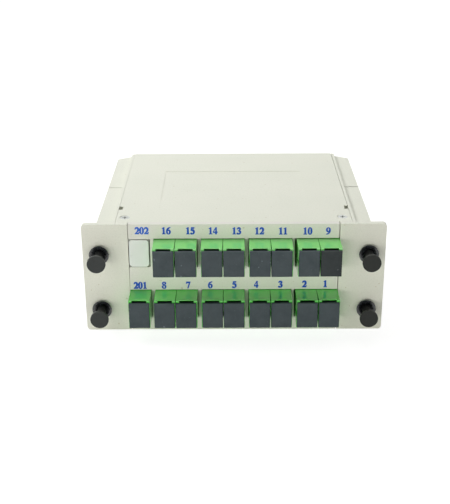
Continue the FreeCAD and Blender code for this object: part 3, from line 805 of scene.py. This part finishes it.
# outlines in hundredths of a digit's height; a third item marks a sharp corner
digitShapes = {
    "0": (((30, 101), (49, 88), (57, 50), (49, 12), (30, -1), (11, 12), (3, 50), (11, 88)),
          ((30, 96), (38, 84), (40, 50), (38, 16), (30, 4), (22, 16), (20, 50), (22, 84))),
    "1": (((10, 0, 1), (50, 0, 1), (50, 3, 1), (42, 5), (38, 12), (38, 100, 1), (35, 100, 1), (10, 87, 1),
           (10, 84, 1), (18, 86), (22, 80), (22, 12), (18, 5), (10, 3, 1)),),
    "2": (((2, 0, 1), (54, 0, 1), (62, 24, 1), (58, 24, 1), (52, 16), (46, 15), (24, 15, 1), (50, 44),
           (57, 70), (45, 95), (28, 100), (10, 92), (3, 72, 1), (7, 71, 1), (12, 80), (24, 85), (37, 78),
           (40, 64), (34, 44), (18, 20), (2, 3, 1)),),
    "3": (((4, 76, 1), (12, 92), (28, 100), (46, 94), (52, 78), (48, 64), (38, 56, 1), (52, 47), (57, 30),
           (48, 8), (22, -1), (5, 3), (2, 12), (8, 18), (16, 15), (24, 8), (32, 7), (40, 14), (42, 26),
           (36, 42), (20, 48, 1), (20, 51, 1), (32, 57), (38, 70), (33, 82), (22, 85), (12, 80),
           (8, 74, 1)),),
    "4": (((38, 100, 1), (48, 100, 1), (48, 36, 1), (58, 36, 1), (58, 23, 1), (48, 23, 1), (48, 0, 1),
           (32, 0, 1), (32, 23, 1), (2, 23, 1), (2, 34, 1)),
          ((32, 36, 1), (32, 76, 1), (8, 36, 1))),
    "5": (((14, 100, 1), (54, 100, 1), (50, 85, 1), (20, 85, 1), (17, 74, 1), (38, 68), (52, 55), (56, 34),
           (48, 10), (20, -1), (4, 3), (2, 11), (8, 17), (16, 15), (26, 8), (36, 11), (41, 24), (36, 42),
           (20, 52), (5, 54, 1)),),
    "6": (((56, 100, 1), (30, 92), (10, 70), (3, 38), (10, 10), (30, -1), (50, 8), (58, 32), (51, 54),
           (36, 61), (21, 56, 1), (28, 76), (40, 88), (57, 97, 1)),
          ((20, 44), (30, 52), (40, 42), (42, 26), (38, 8), (31, 4), (22, 14), (19, 34))),
    "7": (((6, 100, 1), (58, 100, 1), (58, 96, 1), (30, 0, 1), (20, 0, 1), (43, 84, 1), (20, 84), (10, 80),
           (6, 72, 1), (3, 73, 1)),),
    "8": (((30, 100), (50, 93), (54, 78), (48, 64), (38, 55), (52, 44), (57, 26), (50, 7), (30, -1),
           (10, 6), (3, 24), (8, 40), (22, 51), (10, 62), (6, 76), (12, 93)),
          ((30, 95), (39, 88), (40, 76), (33, 60), (22, 70), (18, 82), (22, 92)),
          ((26, 46), (40, 34), (43, 20), (39, 8), (30, 4), (20, 8), (17, 22), (19, 36))),
}
digitShapes["9"] = tuple(  # a six turned over
    tuple((60 - x, 100 - z, *corner) for x, z, *corner in loop) for loop in digitShapes["6"])

numberLook = {
    "height": 3.0,  # mm
    "cell": 0.60,  # of the height, a digit's width
    "advance": 0.66,  # of the height, from digit to digit
    "thick": 0.012,  # mm
    "bold": 7.2,  # hundredths of the height that each stroke gains on either side
    "innerBold": 0.65,  # share of it that the eye of a digit loses
    "hairpin": 0.3,  # edges whose ways add up to less than this fold back, and the second's way counts
    "curveSteps": 5,
    "weld": 1e-7,  # m
    "upper": {  # middles across the panel, mm
        "202": -39.2, "16": -28.8, "15": -18.5, "14": -8.85, "13": 1.2,
        "12": 10.9, "11": 21.0, "10": 31.4, "9": 40.2,
    },
    "upperLevel": (47.2, 46.6),  # left end, right end
    "lower": {
        "201": -40.7, "8": -30.4, "7": -19.9, "6": -10.3, "5": 0.2,
        "4": 9.7, "3": 20.2, "2": 30.6, "1": 39.7,
    },
    "lowerLevel": (21.5, 22.0),
    "rowHalf": 45.3,  # where the ends are
    "pale": ("202",),
}


def boldLoop(loop, grow):
    # moves each point of a closed outline away from the ink's own side
    area = sum(loop[i - 1][0] * loop[i][1] - loop[i][0] * loop[i - 1][1] for i in range(len(loop)))
    way = grow if area > 0 else -grow
    moved = []
    for i, (x, z, *corner) in enumerate(loop):
        before, after = loop[i - 1], loop[(i + 1) % len(loop)]
        first = Vector((x - before[0], z - before[1])).normalized()
        second = Vector((after[0] - x, after[1] - z)).normalized()
        along = first + second
        along = along.normalized() if along.length > numberLook["hairpin"] else second
        moved.append((x + along.y * way, z - along.x * way, *corner))
    return moved


def digitMesh(digit):
    data = bpy.data.curves.new("digit_" + digit, "CURVE")
    data.dimensions = "2D"
    data.fill_mode = "BOTH"
    data.extrude = numberLook["thick"] / 2 * mm
    data.resolution_u = numberLook["curveSteps"]
    scale = numberLook["height"] / 100 * mm
    grow = numberLook["bold"]
    for index, loop in enumerate(digitShapes[digit]):
        loop = boldLoop(loop, -numberLook["innerBold"] * grow if index else grow)
        spline = data.splines.new("BEZIER")
        spline.bezier_points.add(len(loop) - 1)
        spline.use_cyclic_u = True
        for point, (x, z, *corner) in zip(spline.bezier_points, loop):
            point.co = (x * scale, z * scale, 0)
            point.handle_left_type = point.handle_right_type = "VECTOR" if corner else "AUTO"
    drawing = bpy.data.objects.new("digit_" + digit, data)
    scene.collection.objects.link(drawing)
    bpy.context.view_layer.update()
    mesh = bpy.data.meshes.new_from_object(drawing)
    bpy.data.objects.remove(drawing)
    return mesh


def numberMesh(number, across, level, digits):
    height, thick = numberLook["height"] * mm, numberLook["thick"] * mm
    upright = Matrix.Rotation(math.radians(90), 4, "X")
    step = numberLook["advance"] * height
    start = across - (step * (len(number) - 1) + numberLook["cell"] * height) / 2
    shape = bmesh.new()
    for index, digit in enumerate(number):
        at = Vector((start + index * step, frontFace - thick / 2, level - height / 2))
        copy = digits[digit].copy()
        copy.transform(Matrix.Translation(at) @ upright)
        shape.from_mesh(copy)
    bmesh.ops.remove_doubles(shape, verts=shape.verts, dist=numberLook["weld"])
    mesh = bpy.data.meshes.new("number_" + number)
    shape.to_mesh(mesh)
    shape.free()
    return mesh


def addNumbers():
    digits = {digit: digitMesh(digit) for digit in digitShapes}
    half = numberLook["rowHalf"]
    for row in ("upper", "lower"):
        left, right = numberLook[row + "Level"]
        for number, place in numberLook[row].items():
            level = left + (right - left) * (place + half) / (2 * half)
            asPiece("number_" + number, numberMesh(number, place * mm, level * mm, digits),
                    nodeBody["adapter_panel"], finish=paleInk if number in numberLook["pale"] else blueInk)
    print("numbers printed")


addNumbers()


stageLook = {
    "floorHalf": 4,  # m
    "floor": (0.92, 0.92, 0.92, 1),
    "floorShown": (0.30, 0.30, 0.30, 1),  # the share of the floor's white that a shadow can take
    "floorLift": (0.88, 1.01),  # near the object and far from it
    "liftRange": (0.40, 1.10),  # m
    "worldGrey": 0.0,  # the air's own light on the object
}


def shownRay(tree):
    # the camera and what is seen in gloss or glass
    rays = tree.nodes.new("ShaderNodeLightPath")
    shown = rays.outputs["Is Camera Ray"]
    for ray in ("Is Glossy Ray", "Is Transmission Ray"):
        either = tree.nodes.new("ShaderNodeMath")
        either.operation = "MAXIMUM"
        tree.links.new(shown, either.inputs[0])
        tree.links.new(rays.outputs[ray], either.inputs[1])
        shown = either.outputs[0]
    return shown


def addFloor():
    shape = bmesh.new()
    bmesh.ops.create_grid(shape, x_segments=1, y_segments=1, size=stageLook["floorHalf"])
    mesh = bpy.data.meshes.new("studioFloor")
    shape.to_mesh(mesh)
    shape.free()
    floor = bpy.data.objects.new("studioFloor", mesh)
    scene.collection.objects.link(floor)
    finish = bpy.data.materials.new("paperWhite")
    finish.use_nodes = True
    tree = finish.node_tree
    tree.nodes.remove(tree.nodes["Principled BSDF"])
    output = tree.nodes["Material Output"]
    matt, pale = (tree.nodes.new("ShaderNodeBsdfDiffuse") for _ in range(2))
    matt.inputs["Color"].default_value = stageLook["floor"]
    pale.inputs["Color"].default_value = stageLook["floorShown"]
    lift = tree.nodes.new("ShaderNodeEmission")
    spot = tree.nodes.new("ShaderNodeNewGeometry")
    away = tree.nodes.new("ShaderNodeVectorMath")
    away.operation = "LENGTH"
    level = tree.nodes.new("ShaderNodeMapRange")  # white also where the lamps no longer reach
    level.inputs["From Min"].default_value, level.inputs["From Max"].default_value = stageLook["liftRange"]
    level.inputs["To Min"].default_value, level.inputs["To Max"].default_value = stageLook["floorLift"]
    tree.links.new(spot.outputs["Position"], away.inputs[0])
    tree.links.new(away.outputs["Value"], level.inputs["Value"])
    tree.links.new(level.outputs[0], lift.inputs["Strength"])
    both = tree.nodes.new("ShaderNodeAddShader")
    tree.links.new(pale.outputs[0], both.inputs[0])
    tree.links.new(lift.outputs[0], both.inputs[1])
    choice = tree.nodes.new("ShaderNodeMixShader")  # white to look at, plain paper to the object's light
    tree.links.new(shownRay(tree), choice.inputs[0])
    tree.links.new(matt.outputs[0], choice.inputs[1])
    tree.links.new(both.outputs[0], choice.inputs[2])
    tree.links.new(choice.outputs[0], output.inputs["Surface"])
    mesh.materials.append(finish)


def addWorld():
    world = bpy.data.worlds.new("studioAir")
    scene.world = world
    world.use_nodes = True
    tree = world.node_tree
    background = tree.nodes["Background"]
    background.inputs["Color"].default_value = (1, 1, 1, 1)
    level = tree.nodes.new("ShaderNodeMapRange")
    level.inputs["To Min"].default_value = stageLook["worldGrey"]
    level.inputs["To Max"].default_value = 1.0
    tree.links.new(shownRay(tree), level.inputs["Value"])
    tree.links.new(level.outputs[0], background.inputs["Strength"])


lampSet = {  # name: place (m), aimed at, width, height, power (W), colour
    "overheadBox": ((0.0, 0.30, 0.80), (0, 0.02, 0.03), 0.8, 0.6, 3.2, (1.0, 1.0, 0.99)),
    "backLeft": ((-0.50, 0.35, 0.70), (0, 0, 0.03), 0.6, 0.4, 2.0, (1.0, 1.0, 1.0)),
    "leftHigh": ((-0.58, 0.08, 0.66), (0, 0, 0.03), 0.5, 0.5, 3.1, (0.99, 1.0, 0.99)),
    "rightHigh": ((0.58, 0.05, 0.66), (0, 0, 0.03), 0.5, 0.5, 0.5, (1.0, 1.0, 0.93)),
    "frontSheet": ((-0.18, -0.90, 0.06), (0, -0.04, 0.03), 0.9, 0.12, 2.85, (1.04, 1.0, 0.97)),
    "frontWide": ((0.0, -1.00, 0.30), (0, -0.04, 0.03), 1.8, 0.6, 0.85, (1.0, 1.0, 0.95)),
    "rightBox": ((0.40, -0.55, 0.28), (0, -0.04, 0.03), 0.35, 0.35, 0.22, (1.0, 1.0, 0.93)),
    "keyBox": ((-0.27, -0.40, 0.235), (0, -0.04, 0.03), 0.2, 0.2, 0.18, (1.0, 1.0, 0.95)),
}


def addLamps():
    for name, (place, target, width, height, power, colour) in lampSet.items():
        data = bpy.data.lights.new(name, "AREA")
        data.shape = "RECTANGLE"
        data.size, data.size_y = width, height
        data.energy = power
        data.color = colour
        lamp = bpy.data.objects.new(name, data)
        scene.collection.objects.link(lamp)
        lamp.location = place
        lamp.rotation_mode = "QUATERNION"
        lamp.rotation_quaternion = (Vector(target) - Vector(place)).to_track_quat("-Z", "Y")


addFloor()
addWorld()
addLamps()
print("stage lit")


def dressPlainNodes():
    # nodes that no piece replaces are shown as they are, in the finish of their slot
    for name, node in frame["nodes"].items():
        if node.hide_render:
            continue
        for holder in node.material_slots:
            holder.material = finishes[nodeSlot[name]]
    print("plain nodes dressed")


dressPlainNodes()
